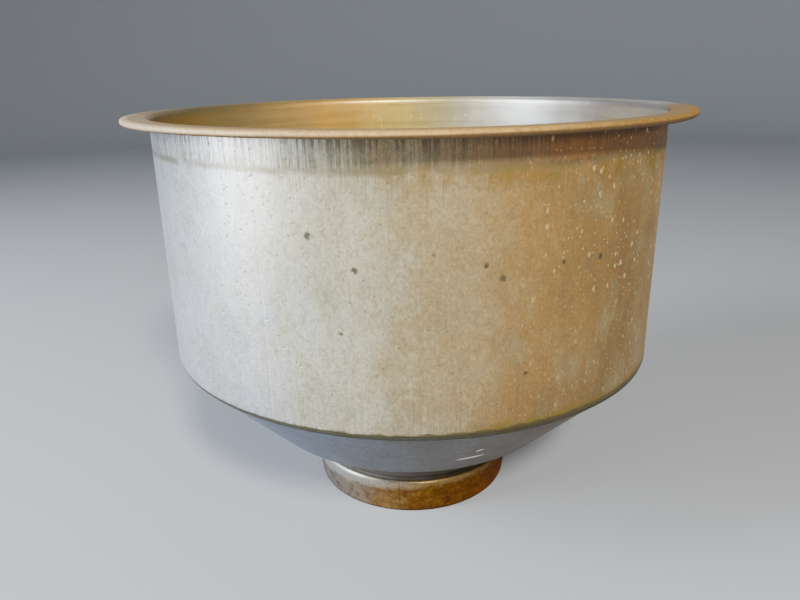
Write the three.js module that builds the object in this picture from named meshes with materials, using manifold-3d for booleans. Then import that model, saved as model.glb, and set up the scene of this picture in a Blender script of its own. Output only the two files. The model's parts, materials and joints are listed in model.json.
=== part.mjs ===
// A sheet-metal straining funnel: a drawn cylindrical bowl with a wired rim, a cone bottom with a
// shallow ledge, an outlet neck inside a tapered collar, and a lift-out strainer set in the neck.
// Millimetres, +Z up. The origin is the centre of the collar's foot, and the round pieces share the Z axis.

import * as THREE from 'three';
import { mergeVertices } from 'three/addons/utils/BufferGeometryUtils.js';
import Module from 'manifold-3d';

const wasm = await Module();
wasm.setup();

// Driving dimensions
const HEIGHT = 253; // foot to the top of the rim
const RIM_RADIUS = 170;
const WALL_RADIUS = 154.7; // outside of the bowl wall
const WALL_FOOT_Z = 107.2; // lower edge of the bowl wall, where the cone begins
const KNEE_RADIUS = 99.2; // lower edge of the cone
const KNEE_Z = 50.5;
const SHOULDER_RADIUS = 68.4; // widest part of the collar
const SHOULDER_Z = 24; // top of the collar
const FOOT_RADIUS = 66.5;
const NECK_RADIUS = 65.2; // outside of the outlet neck

const SHEET = 0.8;
const COLLAR_SHEET = 1;
const GAP = 0.3; // between pieces that touch
const DRILL_CLEARANCE = 1; // a drill runs past both faces of a sheet by this much
const SEGMENTS = 48; // around every turned piece
const WIRE_SIDES = 8;

// Rim
const CURL_RADIUS = 1.8; // outside of the rolled edge
const CURL_TURN = THREE.MathUtils.degToRad(280);
const RIM_BEND = 3.2;
const RIM_WIRE_RADIUS = 0.7;

// Cone bottom
const LAP = 7; // height of the cone's edge that stands inside the wall
const KNEE_BEND = 2.4;
const LEDGE_SLOPE = THREE.MathUtils.degToRad(7);
const OUTLET_HOLE_RADIUS = NECK_RADIUS + 1;
const SOLDER = 1.5; // leg of a solder fillet

// Neck
const NECK_FLANGE_RADIUS = 74;
const NECK_BEND = 1.4;
const SEAT_Z = 22; // top of the turned-in edge that carries the strainer set
const SEAT_RADIUS = 55.5;

// Collar
const SHOULDER_BEND = 2.6;
const COLLAR_STRAIGHT_Z = 19.5; // the collar tapers below this
const FOOT_TURN_IN = 2.6;
const FOOT_BEND = 1.4;

// Strainer set
const PLATE_RADIUS = 63.4;
const PLATE_LIP = 3; // height of a plate's turned-up edge, sheet included
const PAD_RADIUS = 62.2;
const PAD_THICKNESS = 3;
const HOLE_RADIUS = 2.5;
const HOLE_SIDES = 6;
const HOLE_RINGS = 3;
const HOLE_RING_PITCH = 14.5;
const DOME_RADIUS = 40;
const DOME_RISE = 13;
const DOME_TOP_Z = 56;
const LEG_COUNT = 3;
const LEG_WIDTH = 9;
const LEG_SHEET = 1;
const LEG_FOOT_RADIUS = 53; // outer end of a leg's foot
const RIVET_RADIUS = 1.2;
const RIVET_HEAD_RADIUS = 2.6;
const RIVET_HEAD_HEIGHT = 1.3;
const RIVET_SIDES = 8;
const RIVET_CROWN_RADIUS = 0.8 * RIVET_HEAD_RADIUS; // where the head's side turns over into its crown
const RIVET_CROWN_HEIGHT = 0.65 * RIVET_HEAD_HEIGHT;

// Clamp ring
const CLAMP_WIRE_RADIUS = 1.75;
const CLAMP_STEPS = 76;
const LOOP_RADIUS = 8; // centre line of a finger loop
const LOOP_TURN = THREE.MathUtils.degToRad(290);
const LOOP_LEAN = 0.35; // how far a loop leans inward for each unit of its height
const LOOP_SPACING = 26; // between the two ends of the ring, where the loops begin

// Lift ring
const LIFT_WIRE_RADIUS = 1.25;
const LIFT_RING_RADIUS = 9;
const LIFT_RING_STRAIGHT = 11; // from the bar to the centre of the ring's round end
const LIFT_RING_CORNER = 3; // where the straight bar begins to turn
const LIFT_RING_STEPS = 28;
const LIFT_DROOP = THREE.MathUtils.degToRad(8); // the ring leans on the dome
const STAPLE_WIDTH = 8;
const STAPLE_FOOT = 6;

// Worked-out heights
const NECK_INSIDE = NECK_RADIUS - SHEET;
const LOWER_PLATE_Z = SEAT_Z + GAP;
const PAD_Z = LOWER_PLATE_Z + SHEET + GAP;
const UPPER_PLATE_Z = PAD_Z + PAD_THICKNESS + GAP;
const LEG_FOOT_Z = UPPER_PLATE_Z + SHEET + GAP;
const CLAMP_Z = UPPER_PLATE_Z + PLATE_LIP + GAP + CLAMP_WIRE_RADIUS;
const CLAMP_RADIUS = NECK_INSIDE - GAP - CLAMP_WIRE_RADIUS;
const LIFT_BAR_Z = DOME_TOP_Z + GAP + LIFT_WIRE_RADIUS + GAP;
const DOME_SPHERE = (DOME_RADIUS ** 2 + DOME_RISE ** 2) / (2 * DOME_RISE);
const DOME_CENTRE_Z = DOME_TOP_Z - DOME_SPHERE;

// Metals and cotton
const METALS = {
  tinned_wall: { color: 0xb4ab98, roughness: 0.42, metalness: 0.9 },
  tinned_cone: { color: 0x7c7f83, roughness: 0.45, metalness: 0.9 },
  rusty_steel: { color: 0x8a5a26, roughness: 0.8, metalness: 0.35 },
  solder: { color: 0x5c574d, roughness: 0.6, metalness: 0.7 },
  strainer_tin: { color: 0xa9abad, roughness: 0.35, metalness: 0.95 },
  spring_wire: { color: 0x8e8f90, roughness: 0.3, metalness: 1 },
  cotton: { color: 0xe9e4d6, roughness: 0.95, metalness: 0 },
};

const funnel = new THREE.Group();

function place(name, geometry, metal, parent = funnel) {
  const mesh = new THREE.Mesh(geometry, new THREE.MeshStandardMaterial(METALS[metal]));
  mesh.name = name;
  parent.add(mesh);
  return mesh;
}

// Points [radius, height] of an arc about a centre, both ends included
function arc(radius, height, size, from, to, steps) {
  return Array.from({ length: steps + 1 }, (_, i) => {
    const angle = from + ((to - from) * i) / steps;
    return [radius + size * Math.cos(angle), height + size * Math.sin(angle)];
  });
}

// One side of a sheet whose middle follows path, with mitred corners
function sheetSide(path, offset) {
  const normals = path.slice(1).map(([x, y], i) => {
    const [x0, y0] = path[i];
    const length = Math.hypot(x - x0, y - y0);
    return new THREE.Vector2((y0 - y) / length, (x - x0) / length);
  });
  return path.map(([x, y], i) => {
    const before = normals[Math.max(i - 1, 0)];
    const after = normals[Math.min(i, normals.length - 1)];
    const normal = before.clone().add(after).normalize();
    const reach = offset / normal.dot(after);
    return [x + normal.x * reach, y + normal.y * reach];
  });
}

function sheetOutline(path, thickness) {
  return [...sheetSide(path, thickness / 2), ...sheetSide(path, -thickness / 2).reverse()];
}

function signedArea(outline) {
  return outline.reduce((sum, [x, y], i) => {
    const [nextX, nextY] = outline[(i + 1) % outline.length];
    return sum + (x * nextY - nextX * y) / 2;
  }, 0);
}

// A turned piece from an outline that goes round its section once
function turn(outline) {
  const ordered = signedArea(outline) > 0 ? outline : [...outline].reverse();
  const points = [...ordered, ordered[0]].map(([r, z]) => new THREE.Vector2(r, z));
  return new THREE.LatheGeometry(points, SEGMENTS).rotateX(Math.PI / 2);
}

// A turned piece whose outline starts and ends on the axis, underside first
function turnSolid(outline, segments = SEGMENTS) {
  const points = outline.map(([r, z]) => new THREE.Vector2(r, z));
  return new THREE.LatheGeometry(points, segments).rotateX(Math.PI / 2);
}

function toSolid(geometry) {
  const plain = geometry.clone();
  plain.deleteAttribute('normal');
  plain.deleteAttribute('uv');
  const merged = mergeVertices(plain, 1e-4);
  return new wasm.Manifold(
    new wasm.Mesh({
      numProp: 3,
      vertProperties: new Float32Array(merged.attributes.position.array),
      triVerts: new Uint32Array(merged.index.array),
    }),
  );
}

function drill(geometry, tools) {
  const result = tools.reduce((body, tool) => body.subtract(toSolid(tool)), toSolid(geometry));
  const mesh = result.getMesh();
  const drilled = new THREE.BufferGeometry();
  drilled.setAttribute('position', new THREE.BufferAttribute(mesh.vertProperties, 3));
  drilled.setIndex(new THREE.BufferAttribute(mesh.triVerts, 1));
  drilled.computeVertexNormals();
  return drilled;
}

// A round wire along a curve
function wire(curve, radius, steps) {
  const round = arc(0, 0, radius, 0, 2 * Math.PI, WIRE_SIDES).slice(0, -1);
  const section = new THREE.Shape(round.map(([x, y]) => new THREE.Vector2(x, y)));
  return new THREE.ExtrudeGeometry(section, { steps, extrudePath: curve, bevelEnabled: false });
}

// A flat strip bent to a path in the X-Z plane, of the given width along Y
function strip(path, thickness, width) {
  const shape = new THREE.Shape(sheetOutline(path, thickness).map(([x, y]) => new THREE.Vector2(x, y)));
  const geometry = new THREE.ExtrudeGeometry(shape, { depth: width, bevelEnabled: false });
  return geometry.translate(0, 0, -width / 2).rotateX(Math.PI / 2);
}

// A cylinder standing on Z, for a drill or a shank
function rod(radius, bottom, top, sides = 10) {
  return new THREE.CylinderGeometry(radius, radius, top - bottom, sides)
    .rotateX(Math.PI / 2)
    .translate(0, 0, (top + bottom) / 2);
}

// Bowl

function bowlWall() {
  const middle = WALL_RADIUS - SHEET / 2;
  const top = HEIGHT - SHEET / 2;
  const curl = CURL_RADIUS - SHEET / 2;
  const path = [
    [middle, WALL_FOOT_Z],
    ...arc(middle + RIM_BEND, top - RIM_BEND, RIM_BEND, Math.PI, Math.PI / 2, 3),
    ...arc(RIM_RADIUS - CURL_RADIUS, top - curl, curl, Math.PI / 2, Math.PI / 2 - CURL_TURN, 7),
  ];
  return turn(sheetOutline(path, SHEET));
}

function rimWire() {
  const height = HEIGHT - CURL_RADIUS;
  return turn(arc(RIM_RADIUS - CURL_RADIUS, height, RIM_WIRE_RADIUS, 0, 2 * Math.PI, 6).slice(0, -1));
}

const CONE_ANGLE = Math.atan2(WALL_FOOT_Z - KNEE_Z, WALL_RADIUS - KNEE_RADIUS);

// Middle of the cone's sheet at a radius
function coneMiddle(radius) {
  return KNEE_Z + (radius - KNEE_RADIUS) * Math.tan(CONE_ANGLE) + SHEET / 2 / Math.cos(CONE_ANGLE);
}

// Middle of the ledge's sheet at a radius
function ledgeMiddle(radius) {
  return KNEE_Z + SHEET / 2 - (KNEE_RADIUS - radius) * Math.tan(LEDGE_SLOPE);
}

function bowlCone() {
  const lapRadius = WALL_RADIUS - SHEET - GAP - SHEET / 2;
  const bendStart = KNEE_RADIUS + KNEE_BEND;
  const path = [
    [lapRadius, WALL_FOOT_Z + LAP],
    [lapRadius, coneMiddle(lapRadius)],
    [bendStart, coneMiddle(bendStart)],
    [KNEE_RADIUS - KNEE_BEND / 4, KNEE_Z + SHEET / 2 + KNEE_BEND / 4],
    [KNEE_RADIUS - KNEE_BEND, ledgeMiddle(KNEE_RADIUS - KNEE_BEND)],
    [OUTLET_HOLE_RADIUS, ledgeMiddle(OUTLET_HOLE_RADIUS)],
  ];
  return turn(sheetOutline(path, SHEET));
}

// Bead in the corner between the wall's lower edge and the cone
function creaseSolder() {
  const top = WALL_FOOT_Z - GAP;
  const lapSide = WALL_RADIUS - SHEET;
  const onCone = (radius) => coneMiddle(radius) - (SHEET / 2 + GAP) / Math.cos(CONE_ANGLE);
  const foot = lapSide - SOLDER;
  const proud = SOLDER / 4;
  return turn([
    [WALL_RADIUS - proud / 2, top],
    [lapSide, top],
    [lapSide, onCone(lapSide)],
    [foot, onCone(foot)],
    [foot + proud, onCone(foot) - proud],
    [WALL_RADIUS - proud, onCone(lapSide) - proud],
  ]);
}

// Outlet

function outletNeck() {
  const middle = NECK_RADIUS - SHEET / 2;
  const lift = SHEET + GAP;
  const flangeZ = (radius) => ledgeMiddle(radius) + lift;
  const path = [
    [NECK_FLANGE_RADIUS, flangeZ(NECK_FLANGE_RADIUS)],
    ...arc(middle + NECK_BEND, flangeZ(middle + NECK_BEND) - NECK_BEND, NECK_BEND, Math.PI / 2, Math.PI, 2),
    ...arc(middle - NECK_BEND, SEAT_Z - SHEET / 2 + NECK_BEND, NECK_BEND, 0, -Math.PI / 2, 2),
    [SEAT_RADIUS, SEAT_Z - SHEET / 2],
  ];
  return turn(sheetOutline(path, SHEET));
}

// Fillet in the corner between the ledge's underside and the neck
function neckSolder() {
  const inner = NECK_RADIUS + GAP;
  const top = ledgeMiddle(inner) - SHEET / 2 - GAP;
  const outer = inner + SOLDER + GAP;
  const outerTop = ledgeMiddle(outer) - SHEET / 2 - GAP;
  return turn([
    [inner, top],
    [inner, top - SOLDER],
    [outer, outerTop - GAP],
    [outer, outerTop],
  ]);
}

function collar() {
  const half = COLLAR_SHEET / 2;
  const bend = SHOULDER_BEND - half;
  const centre = SHOULDER_RADIUS - SHOULDER_BEND;
  const lip = NECK_RADIUS + GAP + half;
  const footTop = half + FOOT_BEND;
  const path = [
    ...arc(centre, SHOULDER_Z - SHOULDER_BEND, bend, Math.acos((lip - centre) / bend), 0, 3),
    [SHOULDER_RADIUS - half, COLLAR_STRAIGHT_Z],
    ...arc(FOOT_RADIUS - half - FOOT_BEND, footTop, FOOT_BEND, 0, -Math.PI / 2, 2),
    [FOOT_RADIUS - half - FOOT_BEND - FOOT_TURN_IN, half],
  ];
  return turn(sheetOutline(path, COLLAR_SHEET));
}

// Fillet in the groove between the neck and the collar's shoulder
function collarSolder() {
  const inner = NECK_RADIUS + GAP;
  return turn([
    [inner, SHOULDER_Z + GAP],
    [inner + SOLDER, SHOULDER_Z + GAP],
    [inner + SOLDER / 2, SHOULDER_Z + GAP + SOLDER / 2],
    [inner, SHOULDER_Z + GAP + SOLDER],
  ]);
}

// Strainer set

function plateBlank(bottom) {
  const top = bottom + SHEET;
  const lip = bottom + PLATE_LIP;
  return turnSolid([
    [0, bottom],
    [PLATE_RADIUS, bottom],
    [PLATE_RADIUS, lip],
    [PLATE_RADIUS - SHEET, lip],
    [PLATE_RADIUS - SHEET, top],
    [0, top],
  ]);
}

// Drills on concentric rings, and one at the centre
function holeDrills(bottom) {
  const drills = [];
  for (let ring = 0; ring <= HOLE_RINGS; ring += 1) {
    const count = ring === 0 ? 1 : 6 * ring;
    for (let i = 0; i < count; i += 1) {
      const angle = (2 * Math.PI * (i + 0.5)) / count;
      const radius = ring * HOLE_RING_PITCH;
      const top = bottom + SHEET + DRILL_CLEARANCE;
      const tool = rod(HOLE_RADIUS, bottom - DRILL_CLEARANCE, top, HOLE_SIDES);
      drills.push(tool.translate(radius * Math.cos(angle), radius * Math.sin(angle), 0));
    }
  }
  return drills;
}

function filterPad() {
  return turnSolid([
    [0, PAD_Z],
    [PAD_RADIUS, PAD_Z],
    [PAD_RADIUS, PAD_Z + PAD_THICKNESS],
    [0, PAD_Z + PAD_THICKNESS],
  ]);
}

function domeSurface(radius, inset) {
  return DOME_CENTRE_Z + Math.sqrt((DOME_SPHERE - inset) ** 2 - radius ** 2);
}

function domeBlank() {
  const steps = 6;
  const side = (inset) =>
    Array.from({ length: steps + 1 }, (_, i) => {
      const radius = (DOME_RADIUS * i) / steps;
      return [radius, domeSurface(radius, inset)];
    });
  return turnSolid([...side(SHEET), ...side(0).reverse()]);
}

// The leg's tab lies under the dome: its two ends, then the rivet at its middle
const TAB_INSET = SHEET + GAP + LEG_SHEET / 2;
const TAB_OUTER_RADIUS = 36.4;
const TAB_INNER_RADIUS = 27.4;
const TAB_RIVET_RADIUS = (TAB_OUTER_RADIUS + TAB_INNER_RADIUS) / 2;
const TAB_TILT = Math.asin(TAB_RIVET_RADIUS / DOME_SPHERE);
const LEG_BEND_RADIUS = 44;
const FOOT_RIVET_RADIUS = (LEG_FOOT_RADIUS + LEG_BEND_RADIUS) / 2 + LEG_SHEET;

function legBlank() {
  const footZ = LEG_FOOT_Z + LEG_SHEET / 2;
  const path = [
    [LEG_FOOT_RADIUS, footZ],
    [LEG_BEND_RADIUS, footZ],
    [TAB_OUTER_RADIUS, domeSurface(TAB_OUTER_RADIUS, TAB_INSET)],
    [TAB_INNER_RADIUS, domeSurface(TAB_INNER_RADIUS, TAB_INSET)],
  ];
  return strip(path, LEG_SHEET, LEG_WIDTH);
}

// A rod square to the dome at a tab's rivet; heights are measured from the dome's surface
function domeRod(radius, bottom, top) {
  const normal = rod(radius, bottom, top).rotateY(TAB_TILT);
  return normal.translate(TAB_RIVET_RADIUS, 0, domeSurface(TAB_RIVET_RADIUS, 0));
}

function footRod(radius) {
  const bottom = UPPER_PLATE_Z - DRILL_CLEARANCE;
  const top = LEG_FOOT_Z + LEG_SHEET + DRILL_CLEARANCE;
  return rod(radius, bottom, top).translate(FOOT_RIVET_RADIUS, 0, 0);
}

// Half-round head with its shank, standing on Z with the head's flat side at zero
function rivet(shankDepth) {
  const outline = [
    [0, -shankDepth],
    [RIVET_RADIUS, -shankDepth],
    [RIVET_RADIUS, 0],
    [RIVET_HEAD_RADIUS, 0],
    [RIVET_CROWN_RADIUS, RIVET_CROWN_HEIGHT],
    [0, RIVET_HEAD_HEIGHT],
  ];
  return turnSolid(outline, RIVET_SIDES);
}

function footRivet() {
  const head = LEG_FOOT_Z + LEG_SHEET + GAP;
  return rivet(head - UPPER_PLATE_Z).translate(FOOT_RIVET_RADIUS, 0, head);
}

function domeRivet() {
  const depth = GAP + SHEET + GAP + LEG_SHEET;
  const turned = rivet(depth).translate(0, 0, GAP).rotateY(TAB_TILT);
  return turned.translate(TAB_RIVET_RADIUS, 0, domeSurface(TAB_RIVET_RADIUS, 0));
}

// Spring wire ring, open at the front, whose ends rise into finger loops
class ClampCurve extends THREE.Curve {
  constructor() {
    super();
    this.start = -Math.PI / 2 + LOOP_SPACING / 2 / CLAMP_RADIUS;
    this.turn = 2 * Math.PI - LOOP_SPACING / CLAMP_RADIUS;
    this.ringLength = this.turn * CLAMP_RADIUS;
    this.loopLength = LOOP_TURN * LOOP_RADIUS;
  }

  // A point on the loop that leaves the ring at an angle, on the side given by sign
  loop(angle, sign, turned) {
    const along = sign * LOOP_RADIUS * Math.sin(turned);
    const rise = LOOP_RADIUS * (1 - Math.cos(turned));
    const radius = CLAMP_RADIUS - LOOP_LEAN * rise;
    return new THREE.Vector3(
      radius * Math.cos(angle) - along * Math.sin(angle),
      radius * Math.sin(angle) + along * Math.cos(angle),
      CLAMP_Z + rise,
    );
  }

  getPoint(t) {
    const total = this.ringLength + 2 * this.loopLength;
    const length = t * total;
    if (length < this.loopLength) {
      return this.loop(this.start, -1, (this.loopLength - length) / LOOP_RADIUS);
    }
    const past = length - this.loopLength - this.ringLength;
    if (past > 0) {
      return this.loop(this.start + this.turn, 1, past / LOOP_RADIUS);
    }
    const angle = this.start + (length - this.loopLength) / CLAMP_RADIUS;
    return new THREE.Vector3(CLAMP_RADIUS * Math.cos(angle), CLAMP_RADIUS * Math.sin(angle), CLAMP_Z);
  }
}

// Closed D of wire that lies towards +Y, with the joint of its ends inside the staple
function liftRing() {
  const barEnd = LIFT_RING_RADIUS - LIFT_RING_CORNER;
  const round = arc(0, LIFT_RING_STRAIGHT, LIFT_RING_RADIUS, 0, Math.PI, 10);
  const path = [
    [GAP, 0],
    [barEnd, 0],
    [LIFT_RING_RADIUS, LIFT_RING_CORNER],
    ...round,
    [-LIFT_RING_RADIUS, LIFT_RING_CORNER],
    [-barEnd, 0],
    [-GAP, 0],
  ];
  const points = path.map(([x, y]) => new THREE.Vector3(x, y, 0));
  const curve = new THREE.CatmullRomCurve3(points, false, 'centripetal');
  return wire(curve, LIFT_WIRE_RADIUS, LIFT_RING_STEPS);
}

// Bridge of strip over the lift ring's bar, with a foot on each side
function liftStaple() {
  const half = LEG_SHEET / 2;
  const inside = LIFT_WIRE_RADIUS + GAP;
  const footZ = DOME_TOP_Z + GAP + half;
  const path = [
    [inside + half + STAPLE_FOOT, footZ],
    [inside + half, footZ],
    ...arc(0, LIFT_BAR_Z, inside + half, 0, Math.PI, 6),
    [-inside - half, footZ],
    [-inside - half - STAPLE_FOOT, footZ],
  ];
  return strip(path, LEG_SHEET, STAPLE_WIDTH).rotateZ(Math.PI / 2);
}

place('bowl_wall', bowlWall(), 'tinned_wall');
place('rim_wire', rimWire(), 'rusty_steel');
place('bowl_cone', bowlCone(), 'tinned_cone');
place('crease_solder', creaseSolder(), 'solder');
place('outlet_neck', outletNeck(), 'tinned_cone');
place('neck_solder', neckSolder(), 'solder');
place('collar', collar(), 'rusty_steel');
place('collar_solder', collarSolder(), 'solder');

const FULL_TURN = 2 * Math.PI;
const legTurns = Array.from({ length: LEG_COUNT }, (_, i) => (FULL_TURN * i) / LEG_COUNT + Math.PI / 2);
const footDrills = legTurns.map((angle) => footRod(RIVET_RADIUS + GAP).rotateZ(angle));
const domeDrills = legTurns.map((angle) => domeRod(RIVET_RADIUS + GAP, -SHEET * 3, SHEET).rotateZ(angle));
const legDrills = [footRod(RIVET_RADIUS + GAP), domeRod(RIVET_RADIUS + GAP, -SHEET * 6, SHEET)];

place('lower_plate', drill(plateBlank(LOWER_PLATE_Z), holeDrills(LOWER_PLATE_Z)), 'strainer_tin');
place('filter_pad', filterPad(), 'cotton');
const upperDrills = [...holeDrills(UPPER_PLATE_Z), ...footDrills];
place('upper_plate', drill(plateBlank(UPPER_PLATE_Z), upperDrills), 'strainer_tin');
place('splash_dome', drill(domeBlank(), domeDrills), 'strainer_tin');

legTurns.forEach((angle, i) => {
  const legGroup = new THREE.Group();
  legGroup.rotation.z = angle;
  place(`dome_leg_${i + 1}`, drill(legBlank(), legDrills), 'strainer_tin', legGroup);
  place(`foot_rivet_${i + 1}`, footRivet(), 'spring_wire', legGroup);
  place(`dome_rivet_${i + 1}`, domeRivet(), 'spring_wire', legGroup);
  funnel.add(legGroup);
});

place('clamp_ring', wire(new ClampCurve(), CLAMP_WIRE_RADIUS, CLAMP_STEPS), 'spring_wire');
place('lift_staple', liftStaple(), 'strainer_tin');
const ring = place('lift_ring', liftRing(), 'spring_wire');
ring.position.z = LIFT_BAR_Z;
ring.rotation.x = -LIFT_DROOP;

export default funnel;
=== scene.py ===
# %% [markdown]
# # A tinned straining funnel
# This is an old sheet-metal funnel: a drawn bowl with a wired rim, a cone bottom, a rusty collar,
# and a set of perforated plates with a cotton disc that lifts out of the neck. The design's sizes
# come with the frame, so the first step is to load it. Everything here is in metres, with the
# collar's foot on the floor and +Z up.

# %% Load the frame
import json
import math
from collections import defaultdict

import bmesh
import bpy
from mathutils import Matrix, Quaternion, Vector, geometry, noise


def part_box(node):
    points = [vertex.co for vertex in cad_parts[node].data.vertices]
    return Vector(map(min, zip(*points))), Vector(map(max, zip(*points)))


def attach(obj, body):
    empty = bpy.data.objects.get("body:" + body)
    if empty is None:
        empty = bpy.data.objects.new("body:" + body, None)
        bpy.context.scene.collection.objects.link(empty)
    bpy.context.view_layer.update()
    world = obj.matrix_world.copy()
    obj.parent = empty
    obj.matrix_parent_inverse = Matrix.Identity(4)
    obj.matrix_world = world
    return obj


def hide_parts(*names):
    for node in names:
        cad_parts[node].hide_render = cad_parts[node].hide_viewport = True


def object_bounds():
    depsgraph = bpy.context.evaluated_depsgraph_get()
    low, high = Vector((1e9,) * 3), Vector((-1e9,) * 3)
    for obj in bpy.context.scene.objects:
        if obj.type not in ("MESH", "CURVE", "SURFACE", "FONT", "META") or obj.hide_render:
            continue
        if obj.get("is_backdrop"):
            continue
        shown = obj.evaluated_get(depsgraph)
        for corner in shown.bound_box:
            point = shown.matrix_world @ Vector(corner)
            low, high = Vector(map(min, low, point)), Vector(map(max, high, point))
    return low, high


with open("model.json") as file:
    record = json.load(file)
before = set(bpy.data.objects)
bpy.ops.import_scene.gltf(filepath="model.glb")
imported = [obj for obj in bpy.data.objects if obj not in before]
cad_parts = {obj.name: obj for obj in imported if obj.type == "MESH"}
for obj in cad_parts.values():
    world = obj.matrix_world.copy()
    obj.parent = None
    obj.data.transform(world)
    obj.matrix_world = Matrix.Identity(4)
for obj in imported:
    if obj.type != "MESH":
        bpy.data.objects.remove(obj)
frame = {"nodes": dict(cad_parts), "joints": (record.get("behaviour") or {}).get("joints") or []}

cad_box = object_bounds()
MM = 0.001
RIM_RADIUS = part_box("bowl_wall")[1].x
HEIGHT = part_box("bowl_wall")[1].z
WALL_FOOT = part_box("bowl_wall")[0].z
print(f"funnel {2 * RIM_RADIUS / MM:.0f} mm across, {HEIGHT / MM:.0f} mm high")

# %% [markdown]
# ## The camera
# It stands a little above the rim and close to the funnel, looks down by 19 degrees and leans by
# one. Its place is given in rim radii, so that it follows the funnel's size.

# %% Camera
EYE = Vector((-0.0415, -2.5975, 1.6209)) * RIM_RADIUS
LOOK_DOWN = math.radians(18.86)
LEAN = math.radians(-1.06)

camera_data = bpy.data.cameras.new("camera")
camera_data.lens = 30.33
camera_data.sensor_width = 36.0
camera_data.clip_start = 0.01
camera = bpy.data.objects.new("camera", camera_data)
bpy.context.scene.collection.objects.link(camera)
level = Matrix.Rotation(math.radians(90) - LOOK_DOWN, 4, "X")
camera.matrix_world = Matrix.Translation(EYE) @ level @ Matrix.Rotation(LEAN, 4, "Z")
bpy.context.scene.camera = camera
print("camera", [round(x, 3) for x in EYE])

# %% [markdown]
# ## Turning a section into a piece
# The bowl, cone, neck, collar and plates are all turned, so each is one outline swept round the Z
# axis. The frame already holds every outline in its coarse pieces: the edges that lie in the half
# plane through +X, walked in order, are the outline itself. Reading it there keeps each fine
# piece exactly on its coarse one.

# %% Read an outline from the frame
def outline_of(node):
    """Ordered (radius, height) points of a turned node, and whether they close."""
    mesh = frame["nodes"][node].data
    spot = {
        v.index: (round(v.co.x, 6), round(v.co.z, 6))
        for v in mesh.vertices
        if abs(v.co.y) < 1e-6 and v.co.x > -1e-6
    }
    beside = defaultdict(set)
    for edge in mesh.edges:
        a, b = (spot.get(i) for i in edge.vertices)
        if a and b and a != b:
            beside[a].add(b)
            beside[b].add(a)
    ends = sorted(p for p in beside if len(beside[p]) == 1 and p[0] < 1e-5)
    walk = [ends[0] if ends else max(beside)]
    while True:
        onward = [p for p in sorted(beside[walk[-1]]) if p not in walk]
        if not onward:
            break
        walk.append(onward[0])
    return [Vector(p) for p in walk], not ends


print("the wall's outline has", len(outline_of("bowl_wall")[0]), "points")

# %% [markdown]
# Real sheet has soft corners and no facets. Each corner is replaced with a short curve, which
# also turns the few steps of a coarse arc into a smooth one, and long stretches are divided so
# that they can carry slight unevenness.

# %% Round and divide an outline
SHARP_REACH = 0.35 * MM  # how far a sharp corner's curve reaches along its sides
BLUNT_REACH = 8 * SHARP_REACH  # the same for a step of a coarse arc
CURVE_CUTS = 3
STEP = 5 * MM


def softened(points, closed):
    """The outline with a short curve in place of each corner."""
    soft = []
    count = len(points)
    for i, corner in enumerate(points):
        if not closed and i in (0, count - 1):
            soft.append(corner)
            continue
        back, on = points[i - 1] - corner, points[(i + 1) % count] - corner
        bend = back.angle(on, math.pi)
        share = 0.46 if bend > math.radians(115) else 0.3
        reach = BLUNT_REACH if bend > 2.2 else SHARP_REACH
        start = corner + back.normalized() * min(share * back.length, reach)
        stop = corner + on.normalized() * min(share * on.length, reach)
        for k in range(CURVE_CUTS + 1):
            t = k / CURVE_CUTS
            soft.append(start * (1 - t) ** 2 + corner * 2 * t * (1 - t) + stop * t**2)
    return soft


def divided(points, closed):
    """The outline with its long stretches cut into equal steps."""
    out = []
    for a, b in zip(points, points[1:] + (points[:1] if closed else [])):
        pieces = max(1, math.ceil((b - a).length / STEP))
        out += [a.lerp(b, k / pieces) for k in range(pieces)]
    return out if closed else out + [points[-1]]


print("rounded and divided it has", len(divided(softened(*outline_of("bowl_wall")), True)))

# %% [markdown]
# Handled sheet is never truly round. One shared field of gentle bumps moves every soldered piece
# alike, so pieces that touch stay together. The rim waves up and down by a few tenths of a
# millimetre, and the line where the wall was soldered to the cone runs a little askew, lower on
# one side.

# %% Unevenness of handled sheet
BUMP = 0.45 * MM
RIM_WAVE = 0.4 * MM
CREASE_FALL = 0.0125  # of the distance to the side
LEVEL_BELOW = 50 * MM  # the crease's tilt fades out down to this height
CALM_BELOW = 60 * MM  # the bumps fade out from here down to the foot


def uneven(point):
    """Where a point of a soldered piece goes."""
    angle = math.atan2(point.y, point.x)
    radius = math.hypot(point.x, point.y)
    around = Vector((math.cos(angle), math.sin(angle), point.z * 6))
    push = BUMP * noise.noise(around * 1.3 + Vector((3, 1, 4)))
    push += BUMP / 4 * noise.noise(around * 6 + Vector((9, 2, 6)))
    push *= min(1.0, point.z / CALM_BELOW)
    at_rim = max(0.0, (radius - 0.9 * RIM_RADIUS) / (0.1 * RIM_RADIUS)) * (point.z > 0.9 * HEIGHT)
    wave = RIM_WAVE * at_rim * noise.noise(Vector((math.cos(angle), math.sin(angle), 7)) * 2.2)
    wave += RIM_WAVE / 3 * at_rim * noise.noise(Vector((math.cos(angle), math.sin(angle), 2)) * 14)
    below = (point.z - LEVEL_BELOW) / (WALL_FOOT - LEVEL_BELOW)
    above = (HEIGHT - point.z) / (HEIGHT - WALL_FOOT)
    fall = CREASE_FALL * point.x * max(0.0, min(below, above)) * (radius > 0.5 * RIM_RADIUS)
    grown = 1 + push / radius
    return Vector((point.x * grown, point.y * grown, point.z + wave - fall))


rim_end = Vector((RIM_RADIUS, 0, HEIGHT))
print(f"the rim's right end moves by {(uneven(rim_end) - rim_end).length / MM:.2f} mm")


# %% [markdown]
# Every piece ends in the same two steps. One builds a mesh from corners and faces, merges doubled
# corners and marks its sharp edges. The other sweeps an outline round the axis.

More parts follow.
